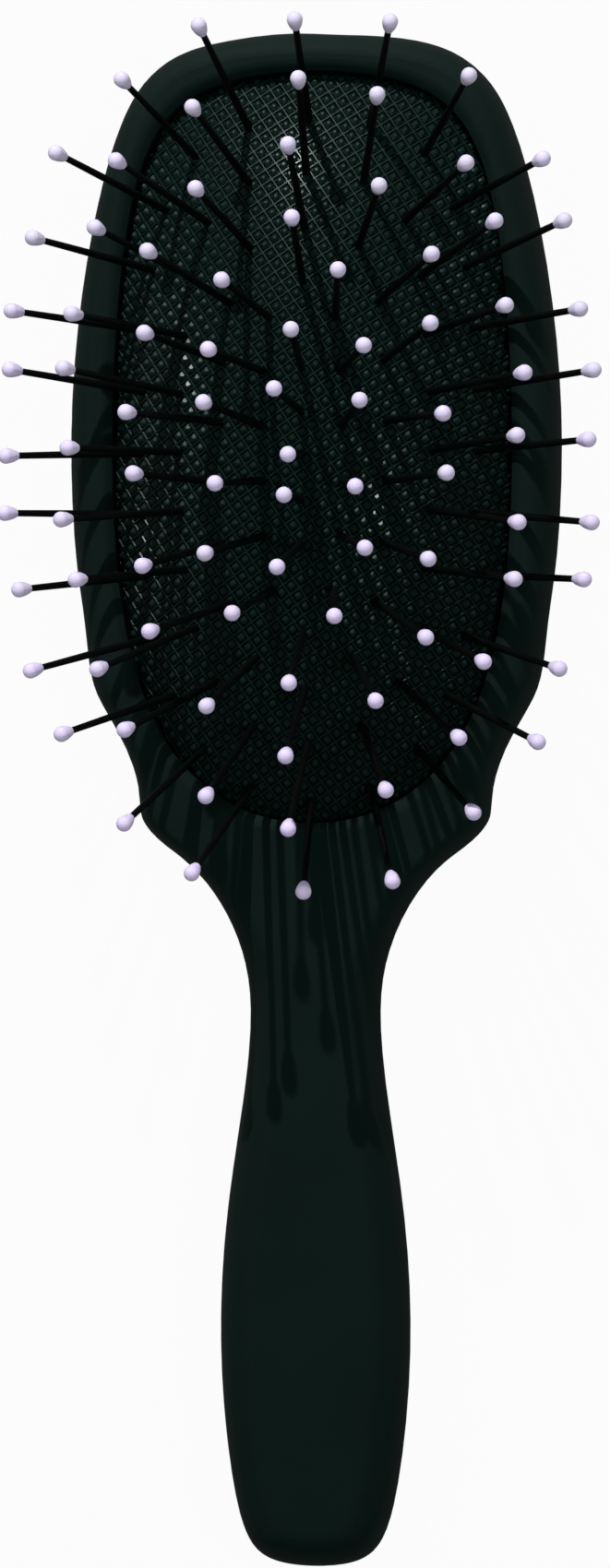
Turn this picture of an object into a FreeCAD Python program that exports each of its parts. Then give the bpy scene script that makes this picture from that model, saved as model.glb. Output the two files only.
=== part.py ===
import FreeCAD, Part
import math
import os

# Detangling brush lying on its back, in millimetres
# The origin is on the flat back, under the middle of the cushion
# +Y runs from the handle to the head, +Z is the side with the pins

# Head: the opening for the cushion and the rim round it
opening_half_width = 30.6
opening_half_length = 57.3
opening_fullness = 0.58
opening_fullness_gain = 0.17
rim_side = 7.2
rim_end = 6.5
outline_fullness = 0.36
outline_fullness_gain = 0.45

# Collar, neck and handle: half-widths, and places along the handle from the origin
shoulder_place = -37.5
collar_half_width = 27.0
collar_place = -55.0
sweep_half_width = 20.7
sweep_place = -62.6
neck_half_width = 10.0
neck_place = -86.0
grip_half_width = 14.6
grip_place = -135.0
end_place = -171.3

# Shells: heights above the back, walls and rounded edges
body_thickness = 14.5
parting_height = 6.5
parting_step = 0.15
floor_thickness = 2.2
front_wall = 2.2
side_wall = 3.2
bulkhead_place = -67.0
rim_round = 4.1
collar_round = 2.8
grip_round = 6.0
back_round = 4.2
lip_depth = 5.5
rim_roll_width = 1.7
rim_roll_drop = 0.9

# Pegs that join the shells inside the handle
peg_places = (-82.0, -119.0, -155.0)
peg_radius = 2.0
peg_clearance = 0.1
socket_wall = 1.6
socket_height = 5.0
socket_floor = 1.0

# Cushion: domed rubber membrane with a skirt and a clamped flange
dome_rise = 17.0
dome_steepness = 0.17
dome_recess = 2.9
membrane_thickness = 1.8
cushion_gap = 0.4
flange_width = 3.0
flange_thickness = 1.5
seat_gap = 0.05
pocket_clearance = 0.3

# Clamp ring under the flange, and the posts that hold it up
clamp_thickness = 2.5
clamp_reach = 2.0
clamp_clearance = 0.15
post_radius = 1.8
post_count = 8

# Pin field: rings of pins round a short middle column
ring_names = ("outer", "second", "third", "inner")
ring_counts = (28, 24, 18, 14)
ring_row_counts = (5, 3, 3, 3)
outer_ring_half_width = 25.3
outer_ring_half_length = 51.4
ring_pitch_across = 6.4
ring_pitch_along = 8.4
column_count = 5
column_pitch = 6.6
field_shift = -2.2

# Pins and their ball tips
pin_length = 26.0
pin_splay = 1.1
lean_scatter = 3.0
pin_root_radius = 0.62
pin_end_radius = 0.48
pin_hole_clearance = 0.05
pin_head_radius = 1.5
pin_head_thickness = 0.8
pin_head_gap = 0.25
tip_radius = 1.18
tip_length = 3.15
tip_collar_radius = 0.66
tip_socket_depth = 1.7
tip_socket_clearance = 0.03

# Sizes worked out from those above
head_half_width = opening_half_width + rim_side
head_half_length = opening_half_length + rim_end
lip_underside = body_thickness - lip_depth
flange_top = lip_underside - seat_gap
flange_bottom = flange_top - flange_thickness
clamp_top = flange_bottom - seat_gap
clamp_bottom = clamp_top - clamp_thickness
dome_edge = body_thickness - dome_recess
cushion_half_width = opening_half_width - cushion_gap
cushion_half_length = opening_half_length - cushion_gap
pocket_grow = flange_width + pocket_clearance
golden_turn = math.radians(137.508)
overshoot = 5.0
section_count = 6
curve_steps = 7
arc_steps = 13
ring_steps = 48
walk_steps = 720


def vector(x, y, z=0.0):
    return FreeCAD.Vector(x, y, z)


# Point of a rounded oval at an angle: an ellipse whose corners fill out with the fullness
def oval_point(half_width, half_length, fullness, angle):
    rise = math.sin(angle)
    fill = math.sqrt(1.0 - fullness(rise) * rise * rise)
    return half_width * math.cos(angle) / fill, half_length * rise


# The opening is squarer at its far end than at the handle
def opening_fill(rise):
    return opening_fullness + opening_fullness_gain * rise


# The head and the butt of the handle are fullest at their corners
def outline_fill(rise):
    return outline_fullness + outline_fullness_gain * rise * rise


def bezier(corners, share):
    rest = 1.0 - share
    weights = (rest ** 3, 3 * rest * rest * share, 3 * rest * share * share, share ** 3)
    x = sum(weight * corner[0] for weight, corner in zip(weights, corners))
    y = sum(weight * corner[1] for weight, corner in zip(weights, corners))
    return x, y


# Right half of the body's outline, from the middle of the head's end to the middle of the butt
def half_outline():
    points = []
    shoulder_angle = math.asin(shoulder_place / head_half_length)
    for step in range(arc_steps):
        angle = math.pi / 2 + (shoulder_angle - math.pi / 2) * step / arc_steps
        points.append(oval_point(head_half_width, head_half_length, outline_fill, angle))
    shoulder = oval_point(head_half_width, head_half_length, outline_fill, shoulder_angle)
    collar = (collar_half_width, collar_place)
    sweep = (sweep_half_width, sweep_place)
    neck = (neck_half_width, neck_place)
    grip = (grip_half_width, grip_place)
    collar_drop = shoulder_place - collar_place
    sweep_drop = collar_place - sweep_place
    neck_drop = sweep_place - neck_place
    grip_drop = neck_place - grip_place
    sweep_lead = 0.42 * sweep_drop
    neck_lead = 0.24 * neck_drop
    curves = (
        (shoulder, (shoulder[0] - 0.1 * collar_drop, shoulder[1] - 0.23 * collar_drop),
         (collar_half_width + 0.01 * collar_drop, collar_place + 0.46 * collar_drop), collar),
        (collar, (collar_half_width, collar_place - sweep_lead),
         (sweep[0] + 0.8 * sweep_lead, sweep[1] + 0.6 * sweep_lead), sweep),
        (sweep, (sweep[0] - 0.8 * neck_lead, sweep[1] - 0.6 * neck_lead),
         (neck_half_width, neck_place + 0.49 * neck_drop), neck),
        (neck, (neck_half_width, neck_place - 0.29 * grip_drop),
         (grip_half_width, grip_place + 0.45 * grip_drop), grip),
    )
    for curve in curves:
        for step in range(curve_steps):
            points.append(bezier(curve, step / curve_steps))
    for step in range(arc_steps + 1):
        angle = -math.pi / 2 * step / arc_steps
        x, y = oval_point(grip_half_width, grip_place - end_place, outline_fill, angle)
        points.append((x, grip_place + y))
    return points


# Whole outline, clockwise from the middle of the head's end
def whole_outline():
    right = half_outline()
    left = [(-x, y) for x, y in reversed(right[1:-1])]
    return right + left


def outward_normals(points):
    normals = []
    for place in range(len(points)):
        before = points[place - 1]
        after = points[(place + 1) % len(points)]
        run = (after[0] - before[0], after[1] - before[1])
        length = math.hypot(run[0], run[1])
        normals.append((-run[1] / length, run[0] / length))
    return normals


def chord_parameters(points):
    parameters = [0.0]
    for place in range(len(points)):
        after = points[(place + 1) % len(points)]
        parameters.append(parameters[-1] + math.dist(points[place], after))
    return parameters


body_outline = whole_outline()
body_normals = outward_normals(body_outline)
body_parameters = chord_parameters(body_outline)


def ease(value, start, finish):
    share = min(max((value - start) / (finish - start), 0.0), 1.0)
    return share * share * (3.0 - 2.0 * share)


# Edge rounding along the body: the rim's, less at the collar, and the grip's beyond the neck
def edge_round(place, rim, collar, grip):
    to_collar = ease(place, 0.5 * shoulder_place, collar_place)
    to_grip = ease(place, sweep_place, neck_place)
    return rim + (collar - rim) * to_collar + (grip - collar) * to_grip


# Closed curve of the body's outline, drawn in by an inset that may change along the body
def body_wire(inset, height):
    points = []
    for (x, y), (across, along) in zip(body_outline, body_normals):
        points.append(vector(x - across * inset(y), y - along * inset(y), height))
    curve = Part.BSplineCurve()
    curve.interpolate(Points=points, Parameters=body_parameters, PeriodicFlag=True)
    return Part.Wire(curve.toShape())


# Half of the body on one side of the parting line, with an edge rounded like a quarter ellipse
def rounded_half(edge, cap_height, step):
    wires = []
    for section in range(section_count):
        angle = math.pi / 2 * section / (section_count - 1)
        share = 1.0 - math.cos(angle)
        height = parting_height + (cap_height - parting_height) * math.sin(angle)
        wires.append(body_wire(lambda place: step + share * edge(place), height))
    return Part.makeLoft(wires, True)


def opening_wire(grow, height):
    points = []
    for step in range(ring_steps):
        angle = 2 * math.pi * step / ring_steps
        x, y = oval_point(opening_half_width + grow, opening_half_length + grow, opening_fill, angle)
        points.append(vector(x, y, height))
    curve = Part.BSplineCurve()
    curve.interpolate(Points=points, Parameters=list(range(ring_steps + 1)), PeriodicFlag=True)
    return Part.Wire(curve.toShape())


# Upright solid with the outline of the opening, made larger all round by a distance
def opening_block(grow, low, high):
    return Part.Face(opening_wire(grow, low)).extrude(vector(0, 0, high - low))


# Roll of the rim's inner side, falling like a parabola from the crest to the edge of the opening
def rim_roll():
    wires = []
    for section in range(section_count):
        grow = rim_roll_width * section / (section_count - 1)
        share = 1.0 - grow / rim_roll_width
        wires.append(opening_wire(grow, body_thickness - rim_roll_drop * share * share))
    return Part.makeLoft(wires, True)


# Hollow of the handle, between the bulkhead and the butt
def handle_hollow(low, high):
    block = Part.Face(body_wire(lambda place: side_wall, low)).extrude(vector(0, 0, high - low))
    length = bulkhead_place - end_place
    keep = Part.makeBox(2 * grip_half_width, length, high - low, vector(-grip_half_width, end_place, low))
    return block.common(keep)


def upright(radius, x, y, low, high):
    return Part.makeCylinder(radius, high - low, vector(x, y, low))


def make_front_shell():
    def edge(place):
        return edge_round(place, rim_round, collar_round, grip_round)
    shell = rounded_half(edge, body_thickness, 0.0)
    shell = shell.cut(opening_block(0.0, 0.0, body_thickness + overshoot))
    shell = shell.cut(rim_roll())
    shell = shell.cut(opening_block(pocket_grow, 0.0, lip_underside))
    hollow_top = body_thickness - front_wall
    shell = shell.cut(handle_hollow(0.0, hollow_top))
    peg_foot = floor_thickness + socket_floor + peg_clearance
    pegs = [upright(peg_radius, 0.0, place, peg_foot, hollow_top + front_wall / 2) for place in peg_places]
    return shell.fuse(pegs).removeSplitter()


def make_back_shell():
    def edge(place):
        return edge_round(place, back_round, collar_round, back_round)
    shell = rounded_half(edge, 0.0, parting_step)
    shell = shell.cut(opening_block(pocket_grow, floor_thickness, parting_height + overshoot))
    shell = shell.cut(handle_hollow(floor_thickness, parting_height + overshoot))
    sink = floor_thickness / 2
    socket_radius = peg_radius + peg_clearance
    for place in peg_places:
        boss = upright(socket_radius + socket_wall, 0.0, place, sink, floor_thickness + socket_height)
        bore_low = floor_thickness + socket_floor
        bore = upright(socket_radius, 0.0, place, bore_low, floor_thickness + socket_height + overshoot)
        shell = shell.fuse(boss).cut(bore)
    posts = []
    post_line = (flange_width - clamp_reach) / 2
    for number in range(post_count):
        angle = 2 * math.pi * (number + 0.5) / post_count
        x, y = oval_point(opening_half_width + post_line, opening_half_length + post_line, opening_fill, angle)
        posts.append(upright(post_radius, x, y, sink, clamp_bottom))
    return shell.fuse(posts).removeSplitter()


def make_clamp_ring():
    outer = opening_block(pocket_grow - clamp_clearance, clamp_bottom, clamp_top)
    return outer.cut(opening_block(-clamp_reach, clamp_bottom - overshoot, clamp_top + overshoot))


# Dome: one in the middle, zero on the cushion's edge and below zero outside it
def dome_level(x, y):
    across = x / cushion_half_width
    along = y / cushion_half_length
    fill = opening_fill(along)
    level = 1.0 - across ** 2 - along ** 2 + fill * across ** 2 * along ** 2
    slope_x = (-2 * across + 2 * fill * across * along ** 2) / cushion_half_width
    gain = opening_fullness_gain * across ** 2 * along ** 2
    slope_y = (-2 * along + 2 * fill * across ** 2 * along + gain) / cushion_half_length
    return level, slope_x, slope_y


def dome_height(x, y):
    level = dome_level(x, y)[0]
    return dome_edge + dome_rise * level * (1.0 + dome_steepness * (1.0 - level))


# Upward normal of the dome, tipped further out by the splay
def dome_normal(x, y, splay=1.0):
    level, slope_x, slope_y = dome_level(x, y)
    gain = splay * dome_rise * (1.0 + dome_steepness * (1.0 - 2.0 * level))
    return vector(-gain * slope_x, -gain * slope_y, 1.0).normalize()


# Everything under the dome, or under the same dome set in by a depth along its normals
def under_dome(depth):
    steps_across = 15
    steps_along = 21
    reach = 1.06
    rows = []
    for row in range(steps_across):
        x = reach * cushion_half_width * (2.0 * row / (steps_across - 1) - 1.0)
        points = []
        for column in range(steps_along):
            y = reach * cushion_half_length * (2.0 * column / (steps_along - 1) - 1.0)
            points.append(vector(x, y, dome_height(x, y)) - dome_normal(x, y) * depth)
        rows.append(points)
    surface = Part.BSplineSurface()
    surface.interpolate(rows)
    drop = dome_rise + body_thickness + overshoot
    return surface.toShape().extrude(vector(0, 0, -drop))


# Places of a pin: where its axis meets the membrane's outer face, and the way it points
def pin_seat(x, y, number):
    point = vector(x, y, dome_height(x, y))
    lean = dome_normal(x, y, pin_splay)
    amount = math.tan(math.radians(lean_scatter))
    turn = number * golden_turn
    way = vector(lean.x + amount * math.cos(turn), lean.y + amount * math.sin(turn), lean.z)
    return point, way.normalize()


# Points spaced evenly along one ring, clockwise from the far end
def ring_points(half_width, half_length, count):
    walk = []
    for step in range(walk_steps + 1):
        angle = math.pi / 2 - 2 * math.pi * step / walk_steps
        walk.append(oval_point(half_width, half_length, opening_fill, angle))
    lengths = [0.0]
    for before, after in zip(walk, walk[1:]):
        lengths.append(lengths[-1] + math.dist(before, after))
    points = []
    place = 0
    for number in range(count):
        wanted = lengths[-1] * number / count
        while lengths[place + 1] < wanted:
            place += 1
        share = (wanted - lengths[place]) / (lengths[place + 1] - lengths[place])
        x = walk[place][0] + share * (walk[place + 1][0] - walk[place][0])
        y = walk[place][1] + share * (walk[place + 1][1] - walk[place][1])
        points.append((x, y + field_shift))
    return points


# Rings cut into a far row, a right column, a near row and a left column, and the middle column
def pin_groups():
    groups = {}
    number = 0
    for ring, name in enumerate(ring_names):
        half_width = outer_ring_half_width - ring * ring_pitch_across
        half_length = outer_ring_half_length - ring * ring_pitch_along
        points = ring_points(half_width, half_length, ring_counts[ring])
        row = ring_row_counts[ring]
        column = ring_counts[ring] // 2 - row
        start = -(row // 2)
        for side, count in (("far", row), ("right", column), ("near", row), ("left", column)):
            seats = []
            for place in range(start, start + count):
                x, y = points[place % ring_counts[ring]]
                seats.append(pin_seat(x, y, number))
                number += 1
            groups[name + "_" + side] = seats
            start += count
    seats = []
    for place in range(column_count):
        y = field_shift + column_pitch * ((column_count - 1) / 2 - place)
        seats.append(pin_seat(0.0, y, number))
        number += 1
    groups["middle"] = seats
    return groups


# Copy of a shape made along +Z from the origin, set on a seat
def set_on(shape, seat):
    point, way = seat
    turned = shape.copy()
    turned.Placement = FreeCAD.Placement(point, FreeCAD.Rotation(vector(0, 0, 1), way))
    return turned


def turn_profile(edges):
    return Part.Face(Part.Wire(edges)).revolve(vector(0, 0, 0), vector(0, 0, 1), 360)


def flat_point(radius, height):
    return vector(radius, 0.0, height)


# Nylon pin: a flat head behind the membrane, a straight root and a slow taper
def make_pin():
    head_top = -(membrane_thickness + pin_head_gap)
    head_bottom = head_top - pin_head_thickness
    end = pin_length - tip_length + tip_socket_depth - tip_socket_clearance
    corners = (
        flat_point(0.0, head_bottom),
        flat_point(pin_head_radius, head_bottom),
        flat_point(pin_head_radius, head_top),
        flat_point(pin_root_radius, head_top),
        flat_point(pin_root_radius, 0.0),
        flat_point(pin_end_radius, end),
        flat_point(0.0, end),
        flat_point(0.0, head_bottom),
    )
    return turn_profile(Part.makePolygon(corners).Edges)


# Ball tip: a drop that swells from a slim collar to a round end, with a blind socket for the pin
def make_tip():
    low = pin_length - tip_length
    equator = pin_length - tip_radius
    socket_top = low + tip_socket_depth
    taper = (pin_root_radius - pin_end_radius) * (tip_length - tip_socket_depth) / pin_length
    socket_radius = pin_end_radius + taper + tip_socket_clearance
    collar = flat_point(tip_collar_radius, low)
    swell = flat_point(0.5 * (tip_collar_radius + tip_radius) + 0.08 * tip_radius, 0.5 * (low + equator))
    belt = flat_point(tip_radius, equator)
    diagonal = tip_radius * math.sqrt(0.5)
    edges = [
        Part.makeLine(flat_point(socket_radius, low), collar),
        Part.Arc(collar, swell, belt).toShape(),
        Part.Arc(belt, flat_point(diagonal, equator + diagonal), flat_point(0.0, pin_length)).toShape(),
        Part.makeLine(flat_point(0.0, pin_length), flat_point(0.0, socket_top)),
        Part.makeLine(flat_point(0.0, socket_top), flat_point(socket_radius, socket_top)),
        Part.makeLine(flat_point(socket_radius, socket_top), flat_point(socket_radius, low)),
    ]
    return turn_profile(edges)


# Rubber cushion: dome, skirt and flange in one, with a hole for every pin
def make_cushion(groups):
    top = dome_edge + dome_rise + overshoot
    inner_grow = -cushion_gap - membrane_thickness
    solid = opening_block(-cushion_gap, flange_bottom, top).common(under_dome(0.0))
    solid = solid.fuse(opening_block(flange_width, flange_bottom, flange_top))
    room = opening_block(inner_grow, flange_bottom - overshoot, top).common(under_dome(membrane_thickness))
    solid = solid.cut(room)
    depth = 2 * membrane_thickness
    hole = Part.makeCylinder(pin_root_radius + pin_hole_clearance, 2 * depth, vector(0, 0, -depth))
    return solid.cut([set_on(hole, seat) for seats in groups.values() for seat in seats])


def save(name, shape):
    shape.exportStep(os.path.join("parts", name + ".step"))


os.makedirs("parts", exist_ok=True)
groups = pin_groups()
save("front_shell", make_front_shell())
save("back_shell", make_back_shell())
save("clamp_ring", make_clamp_ring())
save("cushion", make_cushion(groups))
pin = make_pin()
tip = make_tip()
for name, seats in groups.items():
    save("pins_" + name, Part.makeCompound([set_on(pin, seat) for seat in seats]))
    save("tips_" + name, Part.makeCompound([set_on(tip, seat) for seat in seats]))
    count = len(seats)
    middle = [sum(seat[0][axis] for seat in seats) / count for axis in range(3)]
    print(name, count, "pins, mean root", [round(value, 2) for value in middle])
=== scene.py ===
import math
import bmesh
import bpy
import numpy as np
from mathutils import Matrix, Vector


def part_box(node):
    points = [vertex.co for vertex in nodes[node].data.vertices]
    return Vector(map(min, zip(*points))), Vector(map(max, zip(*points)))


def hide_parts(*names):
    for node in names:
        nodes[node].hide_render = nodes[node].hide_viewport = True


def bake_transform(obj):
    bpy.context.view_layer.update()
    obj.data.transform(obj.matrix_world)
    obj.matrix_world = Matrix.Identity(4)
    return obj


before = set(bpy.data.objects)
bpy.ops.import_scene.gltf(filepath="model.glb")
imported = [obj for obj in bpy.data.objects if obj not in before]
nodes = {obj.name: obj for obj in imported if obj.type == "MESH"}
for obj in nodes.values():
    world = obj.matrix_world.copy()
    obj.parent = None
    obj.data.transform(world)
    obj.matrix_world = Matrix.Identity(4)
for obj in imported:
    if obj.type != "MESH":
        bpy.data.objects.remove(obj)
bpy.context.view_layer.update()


# Helpers shared by the materials
# sRGB hex to linear colour: the standard curve on each of the three pairs of digits
def linearColour(hexText):
    values = np.array([int(hexText[place:place + 2], 16) for place in (1, 3, 5)]) / 255.0
    low = values / 12.92
    high = ((values + 0.055) / 1.055) ** 2.4
    return tuple(np.where(values <= 0.04045, low, high)) + (1.0,)


# Node with its settings, inputs or properties alike, and the sockets that feed it by name or number
def addNode(tree, kind, settings=None, links=None):
    node = tree.nodes.new(kind)
    for name, value in (settings or {}).items():
        if name in node.inputs:
            node.inputs[name].default_value = value
        else:
            setattr(node, name, value)
    for name, socket in (links or {}).items():
        tree.links.new(socket, node.inputs[name])
    return node


def newMaterial(name):
    material = bpy.data.materials.new(name)
    material.use_nodes = True
    tree = material.node_tree
    shader = tree.nodes["Principled BSDF"]
    place = addNode(tree, "ShaderNodeTexCoord").outputs["Object"]
    return material, tree, shader, place


# Shader sockets: a node's output is linked, and a plain value is set on the socket itself
def feedShader(tree, shader, values):
    for name, value in values.items():
        if isinstance(value, bpy.types.NodeSocket):
            tree.links.new(value, shader.inputs[name])
        else:
            shader.inputs[name].default_value = value


def mixColours(tree, factor, first, second):
    mix = addNode(tree, "ShaderNodeMix", {"data_type": "RGBA"}, {"Factor": factor})
    mix.inputs["A"].default_value = linearColour(first)
    mix.inputs["B"].default_value = linearColour(second)
    return mix.outputs["Result"]


def paint(nodeNames, material):
    for name in nodeNames:
        nodes[name].data.materials.clear()
        nodes[name].data.materials.append(material)


# Soft-touch plastic of the shells: near-black with a green cast, a fine grain and a faint cloud of handling
shellFinish = dict(
    dark="#051411",
    pale="#0a1a17",
    roughness=(0.69, 0.8),
    specular=0.12,
    cloud=0.02,  # patches 20 mm wide
    grain=0.00022,  # grain 0.2 mm wide
    grainDepth=0.00002,
    grainStrength=0.25,
)


def softTouchPlastic():
    material, tree, shader, place = newMaterial("softTouchPlastic")
    cloud = addNode(tree, "ShaderNodeTexNoise", {"Scale": 1 / shellFinish["cloud"], "Detail": 3.0},
                    {"Vector": place}).outputs["Fac"]
    grain = addNode(tree, "ShaderNodeTexNoise", {"Scale": 1 / shellFinish["grain"], "Detail": 2.0},
                    {"Vector": place}).outputs["Fac"]
    bump = addNode(tree, "ShaderNodeBump", {"Strength": shellFinish["grainStrength"],
                                            "Distance": shellFinish["grainDepth"]}, {"Height": grain})
    smooth, rough = shellFinish["roughness"]
    gloss = addNode(tree, "ShaderNodeMapRange", {"To Min": smooth, "To Max": rough}, {"Value": cloud})
    feedShader(tree, shader, {
        "Base Color": mixColours(tree, cloud, shellFinish["dark"], shellFinish["pale"]),
        "Roughness": gloss.outputs["Result"],
        "Normal": bump.outputs["Normal"],
        "Specular IOR Level": shellFinish["specular"],
    })
    return material


# Waffle moulded into the cushion: square cells, each with a ridge round it and a stud in its middle
# Places across a cell are shares of the pitch
waffle = dict(
    pitch=0.0018,
    turn=math.radians(34.0),
    # ridge's edge, groove, stud's edges, groove, next ridge's edge
    lines=(0.05, 0.12, 0.4, 0.6, 0.88, 0.95),
    ridgeHalf=0.1,  # the ridge's top lies within this of the border
    studHalf=0.2,  # the stud's top lies within this of the middle
    ridgeHeight=0.00022,
    studHeight=0.00042,
    ridgeFade=(0.06, 0.13),  # where the ridge's colour fades out
    studFade=(0.16, 0.26),  # where the stud's colour comes in
)

# Moulded rubber of the cushion: satin black with a green cast, rubbed glossier where it stands out, and
# darkened in the grooves as painted shade against the paler ridges and studs. Each pair is for the grooves
# and for the ridges and studs
rubberFinish = dict(
    colour=("#010a08", "#061916"),
    roughness=(0.65, 0.5),
    specular=(0.01, 0.27),
    skin=(0.0, 0.1),
    skinRoughness=0.22,
    gleam="#cfe9df",
    wear=(0.75, 1.1),  # how far rubbing differs from patch to patch
    cloud=0.006,  # patches 6 mm wide
    grain=0.00035,  # grain 0.35 mm wide
    grainDepth=0.00002,
    grainStrength=0.3,
)


# Mask of the waffle: the distance to the nearest cell border is small on a ridge and large on a stud
def waffleMask(tree, place):
    scale = 1 / waffle["pitch"]
    cells = addNode(tree, "ShaderNodeMapping", {"Rotation": (0.0, 0.0, -waffle["turn"]),
                                                "Scale": (scale,) * 3}, {"Vector": place})
    split = addNode(tree, "ShaderNodeSeparateXYZ", None, {"Vector": cells.outputs["Vector"]})
    borders = []
    for axis in "XY":
        border = addNode(tree, "ShaderNodeMath", {"operation": "PINGPONG"}, {0: split.outputs[axis]})
        border.inputs[1].default_value = 0.5  # half a cell
        borders.append(border.outputs["Value"])
    nearest = addNode(tree, "ShaderNodeMath", {"operation": "MINIMUM"},
                      {0: borders[0], 1: borders[1]}).outputs["Value"]
    fadeStart, fadeEnd = waffle["ridgeFade"]
    ridge = addNode(tree, "ShaderNodeMapRange", {"From Min": fadeStart, "From Max": fadeEnd,
                                                 "To Min": 1.0, "To Max": 0.0}, {"Value": nearest})
    fadeStart, fadeEnd = waffle["studFade"]
    stud = addNode(tree, "ShaderNodeMapRange", {"From Min": fadeStart, "From Max": fadeEnd},
                   {"Value": nearest})
    mask = addNode(tree, "ShaderNodeMath", {"operation": "MAXIMUM"},
                   {0: ridge.outputs["Result"], 1: stud.outputs["Result"]})
    return mask.outputs["Value"]


def mouldedRubber():
    material, tree, shader, place = newMaterial("mouldedRubber")
    cloud = addNode(tree, "ShaderNodeTexNoise", {"Scale": 1 / rubberFinish["cloud"], "Detail": 4.0},
                    {"Vector": place}).outputs["Fac"]
    grain = addNode(tree, "ShaderNodeTexNoise", {"Scale": 1 / rubberFinish["grain"], "Detail": 2.0},
                    {"Vector": place}).outputs["Fac"]
    bump = addNode(tree, "ShaderNodeBump", {"Strength": rubberFinish["grainStrength"],
                                            "Distance": rubberFinish["grainDepth"]}, {"Height": grain})
    least, most = rubberFinish["wear"]
    wear = addNode(tree, "ShaderNodeMapRange", {"To Min": least, "To Max": most}, {"Value": cloud})
    rubbedAndGrooveShade = addNode(tree, "ShaderNodeMath", {"operation": "MULTIPLY", "use_clamp": True},
                     {0: waffleMask(tree, place), 1: wear.outputs["Result"]}).outputs["Value"]
    # Base colour: painted shade darkens the grooves, and the ridges and studs stay paler, by patches as
    # they are rubbed
    feedShader(tree, shader, {
        "Base Color": mixColours(tree, rubbedAndGrooveShade, *rubberFinish["colour"]),
        "Normal": bump.outputs["Normal"],
        "Specular Tint": linearColour(rubberFinish["gleam"]),
        "Coat Roughness": rubberFinish["skinRoughness"],
    })
    graded = {"Roughness": "roughness", "Specular IOR Level": "specular", "Coat Weight": "skin"}
    for socket, name in graded.items():
        groove, raised = rubberFinish[name]
        level = addNode(tree, "ShaderNodeMapRange", {"To Min": groove, "To Max": raised}, {"Value": rubbedAndGrooveShade})
        feedShader(tree, shader, {socket: level.outputs["Result"]})
    return material


# Moulded nylon of the pins: black and smooth, with a slow unevenness in its gloss
nylonFinish = dict(
    dark="#030505",
    pale="#070909",
    roughness=(0.3, 0.44),
    specular=0.15,
    cloud=0.004,  # patches 4 mm long
)


def blackNylon():
    material, tree, shader, place = newMaterial("blackNylon")
    cloud = addNode(tree, "ShaderNodeTexNoise", {"Scale": 1 / nylonFinish["cloud"], "Detail": 2.0},
                    {"Vector": place}).outputs["Fac"]
    smooth, rough = nylonFinish["roughness"]
    gloss = addNode(tree, "ShaderNodeMapRange", {"To Min": smooth, "To Max": rough}, {"Value": cloud})
    feedShader(tree, shader, {
        "Base Color": mixColours(tree, cloud, nylonFinish["dark"], nylonFinish["pale"]),
        "Roughness": gloss.outputs["Result"],
        "Specular IOR Level": nylonFinish["specular"],
    })
    return material


# Dipped lavender of the ball tips: pale satin, each tip in a shade of its own, and deeper and brighter
# towards the handle as painted light
tipFinish = dict(
    cool="#d2cde3",
    deep="#e2d3fc",
    far=0.06,  # the shade deepens from here
    near=-0.06,
    deepening=0.75,
    cloud=0.009,  # patches 9 mm wide, about the distance between neighbours
    cloudRange=(0.3, 0.7),
    cloudShare=0.25,
    roughness=0.42,
    specular=0.1,
)


def lavenderDip():
    material, tree, shader, place = newMaterial("lavenderDip")
    along = addNode(tree, "ShaderNodeSeparateXYZ", None, {"Vector": place}).outputs["Y"]
    # Painted light: the shade grows deeper and brighter towards the handle, making up for the near tips
    # getting less of the head lamp
    slope = addNode(tree, "ShaderNodeMapRange", {
        "From Min": tipFinish["far"],
        "From Max": tipFinish["near"],
        "To Max": tipFinish["deepening"],
    }, {"Value": along})
    cloud = addNode(tree, "ShaderNodeTexNoise", {"Scale": 1 / tipFinish["cloud"], "Detail": 1.0},
                    {"Vector": place}).outputs["Fac"]
    low, high = tipFinish["cloudRange"]
    most = tipFinish["cloudShare"]
    spread = addNode(tree, "ShaderNodeMapRange", {"From Min": low, "From Max": high,
                                                  "To Min": -most, "To Max": most}, {"Value": cloud})
    share = addNode(tree, "ShaderNodeMath", {"operation": "ADD", "use_clamp": True},
                    {0: slope.outputs["Result"], 1: spread.outputs["Result"]})
    feedShader(tree, shader, {
        "Base Color": mixColours(tree, share.outputs["Value"], tipFinish["cool"], tipFinish["deep"]),
        "Roughness": tipFinish["roughness"],
        "Specular IOR Level": tipFinish["specular"],
    })
    return material


# Plain moulded plastic of the hidden clamp ring: dark grey with faint clouds
clampFinish = dict(
    dark="#101211",
    pale="#181a19",
    roughness=0.55,
    cloud=1 / 120,  # patches about 8 mm wide
)


def plainPlastic():
    material, tree, shader, place = newMaterial("plainPlastic")
    cloud = addNode(tree, "ShaderNodeTexNoise", {"Scale": 1 / clampFinish["cloud"], "Detail": 2.0},
                    {"Vector": place}).outputs["Fac"]
    feedShader(tree, shader, {
        "Base Color": mixColours(tree, cloud, clampFinish["dark"], clampFinish["pale"]),
        "Roughness": clampFinish["roughness"],
    })
    return material


rubberMaterial = mouldedRubber()
paint(["front_shell", "back_shell"], softTouchPlastic())
paint(["clamp_ring"], plainPlastic())
paint([name for name in nodes if name.startswith("pins_")], blackNylon())
paint([name for name in nodes if name.startswith("tips_")], lavenderDip())
print("materials done")


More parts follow.
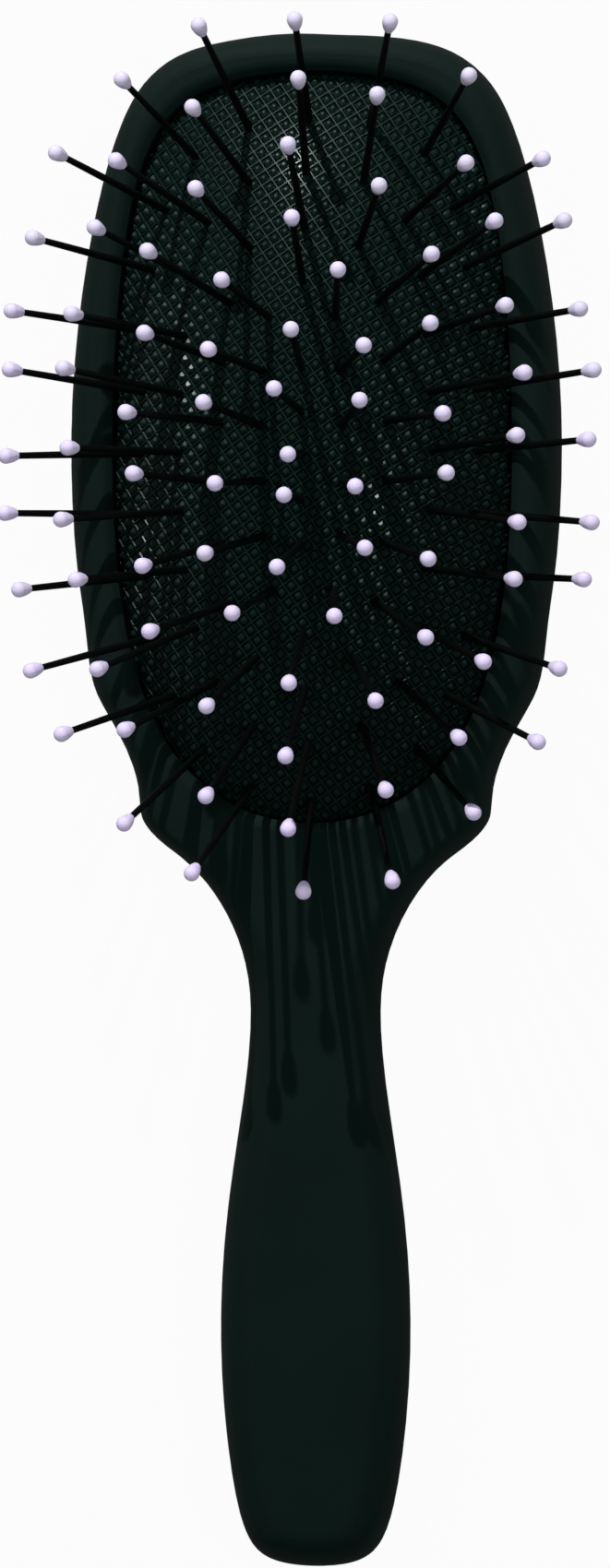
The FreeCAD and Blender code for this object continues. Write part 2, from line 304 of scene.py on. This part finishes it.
# Cushion: the dome of the membrane, worked out from the CAD solid's box
cushionLow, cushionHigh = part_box("cushion")
cushion = dict(
    flangeOver=0.0034,  # flange beyond the dome's edge
    rise=0.017,
    steepness=0.17,
    fullness=0.58,
    fullnessGain=0.17,
    skirt=0.0009,
    gridReach=1.2,  # of the turned grid from the middle, in half lengths
    edgeHalvings=30,
)
cushion["halfWidth"] = (cushionHigh.x - cushionLow.x) / 2 - cushion["flangeOver"]
cushion["halfLength"] = (cushionHigh.y - cushionLow.y) / 2 - cushion["flangeOver"]
cushion["edge"] = cushionHigh.z - cushion["rise"]


# Dome level: 1 in the middle and 0 on the edge, one minus the squares across and along, plus a corner term
def domeLevel(x, y):
    across = x / cushion["halfWidth"]
    along = y / cushion["halfLength"]
    fill = cushion["fullness"] + cushion["fullnessGain"] * along
    level = 1 - across ** 2 - along ** 2 + fill * across ** 2 * along ** 2
    slopeX = (-2 * across + 2 * fill * across * along ** 2) / cushion["halfWidth"]
    corner = cushion["fullnessGain"] * across ** 2 * along ** 2
    slopeY = (-2 * along + 2 * fill * across ** 2 * along + corner) / cushion["halfLength"]
    return level, slopeX, slopeY


# Dome surface: height is rise times level, a little steeper near the edge; the normal comes from its slopes
def domeSurface(x, y):
    level, slopeX, slopeY = domeLevel(x, y)
    height = cushion["edge"] + cushion["rise"] * level * (1 + cushion["steepness"] * (1 - level))
    gain = cushion["rise"] * (1 + cushion["steepness"] * (1 - 2 * level))
    normal = np.stack([-gain * slopeX, -gain * slopeY, np.ones_like(x)], axis=-1)
    normal /= np.linalg.norm(normal, axis=-1, keepdims=True)
    return np.stack([x, y, height], axis=-1), normal


# Points beyond the dome's edge: level below 0, or outside the dome's box, where the level can rise again
def beyondEdge(x, y):
    boxShare = np.maximum(abs(x) / cushion["halfWidth"], abs(y) / cushion["halfLength"])
    return (domeLevel(x, y)[0] <= 0) | (boxShare > 1)


# Share of the way from the middle at which a ray meets the edge, halving the span again and again
def edgeShare(x, y):
    low = np.zeros_like(x)
    high = np.ones_like(x)
    for halving in range(cushion["edgeHalvings"]):
        middle = (low + high) / 2
        past = beyondEdge(x * middle, y * middle)
        low = np.where(past, low, middle)
        high = np.where(past, middle, high)
    return low


def makeObject(name, points, faces, material, smooth=True):
    mesh = bpy.data.meshes.new(name)
    mesh.from_pydata(points.tolist(), [], faces)
    mesh.materials.append(material)
    mesh.polygons.foreach_set("use_smooth", np.full(len(mesh.polygons), smooth))
    mesh.update()
    piece = bpy.data.objects.new(name, mesh)
    bpy.context.scene.collection.objects.link(piece)
    return piece


# Waffle relief over a cell: the ridge's height in a band along its border, the stud's height in a square
# in its middle and nothing between, so that the faces between them slope
def waffleRelief(shareU, shareV):
    fromMiddle = np.maximum(abs(shareU - 0.5), abs(shareV - 0.5))
    onRidge = fromMiddle > 0.5 - waffle["ridgeHalf"]
    onStud = fromMiddle < waffle["studHalf"]
    return waffle["ridgeHeight"] * onRidge + waffle["studHeight"] * onStud


# Turned square grid laid over the dome; points past the edge fold straight down as the skirt
def waffleSheet():
    count = int(cushion["gridReach"] * cushion["halfLength"] / waffle["pitch"])
    cells = np.arange(-count, count)
    shares = np.tile(np.array(waffle["lines"]), len(cells))
    line = (np.repeat(cells, len(waffle["lines"])) + shares) * waffle["pitch"]
    u, v = np.meshgrid(line, line, indexing="ij")
    shareU, shareV = np.meshgrid(shares, shares, indexing="ij")
    cosine, sine = math.cos(waffle["turn"]), math.sin(waffle["turn"])
    x = (u * cosine - v * sine).ravel()
    y = (u * sine + v * cosine).ravel()
    outside = beyondEdge(x, y)
    share = np.ones_like(x)
    share[outside] = edgeShare(x[outside], y[outside])
    points, normals = domeSurface(x * share, y * share)
    relief = waffleRelief(shareU.ravel(), shareV.ravel()) * ~outside
    points += normals * relief[:, None]
    beyond = np.hypot(x, y) * (1 - share)
    points[:, 2] -= np.minimum(beyond, cushion["skirt"])
    number = np.arange(len(x)).reshape(u.shape)
    corners = np.stack([number[:-1, :-1], number[1:, :-1], number[1:, 1:], number[:-1, 1:]], axis=-1)
    corners = corners.reshape(-1, 4)
    corners = corners[(beyond[corners] < cushion["skirt"]).any(axis=1)]
    used, places = np.unique(corners, return_inverse=True)
    return points[used], places.reshape(-1, 4)


# Closed underside: the sheet's border carried straight down to a depth, and a face across it
def closeBelow(piece, depth):
    work = bmesh.new()
    work.from_mesh(piece.data)
    border = [edge for edge in work.edges if edge.is_boundary]
    grown = bmesh.ops.extrude_edge_only(work, edges=border)["geom"]
    foot = [item for item in grown if isinstance(item, bmesh.types.BMVert)]
    bmesh.ops.scale(work, vec=(1.0, 1.0, 0.0), verts=foot)
    bmesh.ops.translate(work, vec=(0.0, 0.0, depth), verts=foot)
    bmesh.ops.holes_fill(work, edges=[edge for edge in work.edges if edge.is_boundary])
    bmesh.ops.recalc_face_normals(work, faces=work.faces)
    work.to_mesh(piece.data)
    work.free()


points, faces = waffleSheet()
membrane = makeObject("cushionMembrane", points, faces.tolist(), rubberMaterial, smooth=False)
closeBelow(membrane, cushionLow.z)
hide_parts("cushion")
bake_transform(membrane)
print("cushion", len(membrane.data.polygons), "faces")


# Camera: nearly straight down, a little from the right, with the head at the top of the image
camera = dict(
    target=Vector((-0.00163, -0.0513, 0.007)),
    distance=0.75,
    lean=math.radians(6.0),
    span=0.2408,  # height of the image at the target
    clipStart=0.01,
)


def aimedMatrix(place, target, up):
    back = (place - target).normalized()
    side = up.cross(back).normalized()
    turned = Matrix((side, back.cross(side), back)).transposed().to_4x4()
    return Matrix.Translation(place) @ turned


def addCamera():
    data = bpy.data.cameras.new("photoCamera")
    data.angle = 2 * math.atan(camera["span"] / 2 / camera["distance"])  # of the long side
    data.clip_start = camera["clipStart"]
    holder = bpy.data.objects.new("photoCamera", data)
    bpy.context.scene.collection.objects.link(holder)
    offset = Vector((math.sin(camera["lean"]), 0, math.cos(camera["lean"]))) * camera["distance"]
    holder.matrix_world = aimedMatrix(camera["target"] + offset, camera["target"], Vector((0, 1, 0)))
    bpy.context.scene.camera = holder


# Floor: plain pale sheet, white to the camera and dimmer in reflections, that keeps a trace of the shadow
floorLook = dict(colour="#9a9a9a", toCamera=0.96, toGloss=0.04, half=3.0, drop=0.0002)


# Share of white: full for what the camera sees, a trace in reflections and clear things, none for light
def whiteShare(tree, toCamera):
    ray = addNode(tree, "ShaderNodeLightPath").outputs
    clear = addNode(tree, "ShaderNodeMath", {"operation": "MAXIMUM"},
                    {0: ray["Is Glossy Ray"], 1: ray["Is Transmission Ray"]})
    gloss = addNode(tree, "ShaderNodeMath", {"operation": "MULTIPLY"}, {0: clear.outputs["Value"]})
    gloss.inputs[1].default_value = floorLook["toGloss"]
    share = addNode(tree, "ShaderNodeMath", {"operation": "MULTIPLY_ADD"},
                    {0: ray["Is Camera Ray"], 2: gloss.outputs["Value"]})
    share.inputs[1].default_value = toCamera
    return share.outputs["Value"]


def addFloor():
    material = bpy.data.materials.new("paleFloor")
    material.use_nodes = True
    tree = material.node_tree
    tree.nodes.clear()
    soft = addNode(tree, "ShaderNodeBsdfDiffuse", {"Color": linearColour(floorLook["colour"])})
    white = addNode(tree, "ShaderNodeEmission", {"Color": linearColour("#ffffff")})
    share = whiteShare(tree, floorLook["toCamera"])
    mix = addNode(tree, "ShaderNodeMixShader", None,
                  {0: share, 1: soft.outputs["BSDF"], 2: white.outputs["Emission"]})
    addNode(tree, "ShaderNodeOutputMaterial", None, {"Surface": mix.outputs["Shader"]})
    half, low = floorLook["half"], -floorLook["drop"]
    corners = np.array([(-half, -half, low), (half, -half, low), (half, half, low), (-half, half, low)])
    floor = makeObject("floor", corners, [(0, 1, 2, 3)], material)


# Studio lights: a small low one beyond the head throws the pins' shadows, and a broad soft one stands
# on each side
lights = (
    dict(name="headLight", place=(-0.125, 0.69, 0.455), size=(0.008, 0.008), watts=6.15, gleams=True),
    dict(name="leftLight", place=(-0.75, 0.25, 0.95), size=(0.6, 0.45), watts=4.2, gleams=False),
    dict(name="rightLight", place=(0.7, -0.2, 1.1), size=(0.6, 0.45), watts=6.3, gleams=False),
)
studio = dict(
    aim=Vector((0, -0.01, 0.02)),
    up=Vector((0, 0.1, 1)),
    ambient=0.1,  # strength of the world's light
    skyToCamera=1.0,  # the world's white where the camera looks past the floor
)


def addLights():
    for light in lights:
        data = bpy.data.lights.new(light["name"], "AREA")
        data.shape = "RECTANGLE"
        data.size, data.size_y = light["size"]
        data.energy = light["watts"]
        holder = bpy.data.objects.new(light["name"], data)
        bpy.context.scene.collection.objects.link(holder)
        holder.matrix_world = aimedMatrix(Vector(light["place"]), studio["aim"], studio["up"])
        holder.visible_glossy = light["gleams"]


def setWorld():
    world = bpy.data.worlds.new("studio")
    world.use_nodes = True
    tree = world.node_tree
    share = whiteShare(tree, studio["skyToCamera"])
    level = addNode(tree, "ShaderNodeMapRange", {"To Min": studio["ambient"]}, {"Value": share})
    background = tree.nodes["Background"]
    background.inputs["Color"].default_value = linearColour("#ffffff")
    tree.links.new(level.outputs["Result"], background.inputs["Strength"])
    bpy.context.scene.world = world


addCamera()
addFloor()
addLights()
setWorld()
bpy.context.scene.view_settings.view_transform = "Standard"
print("stage done")
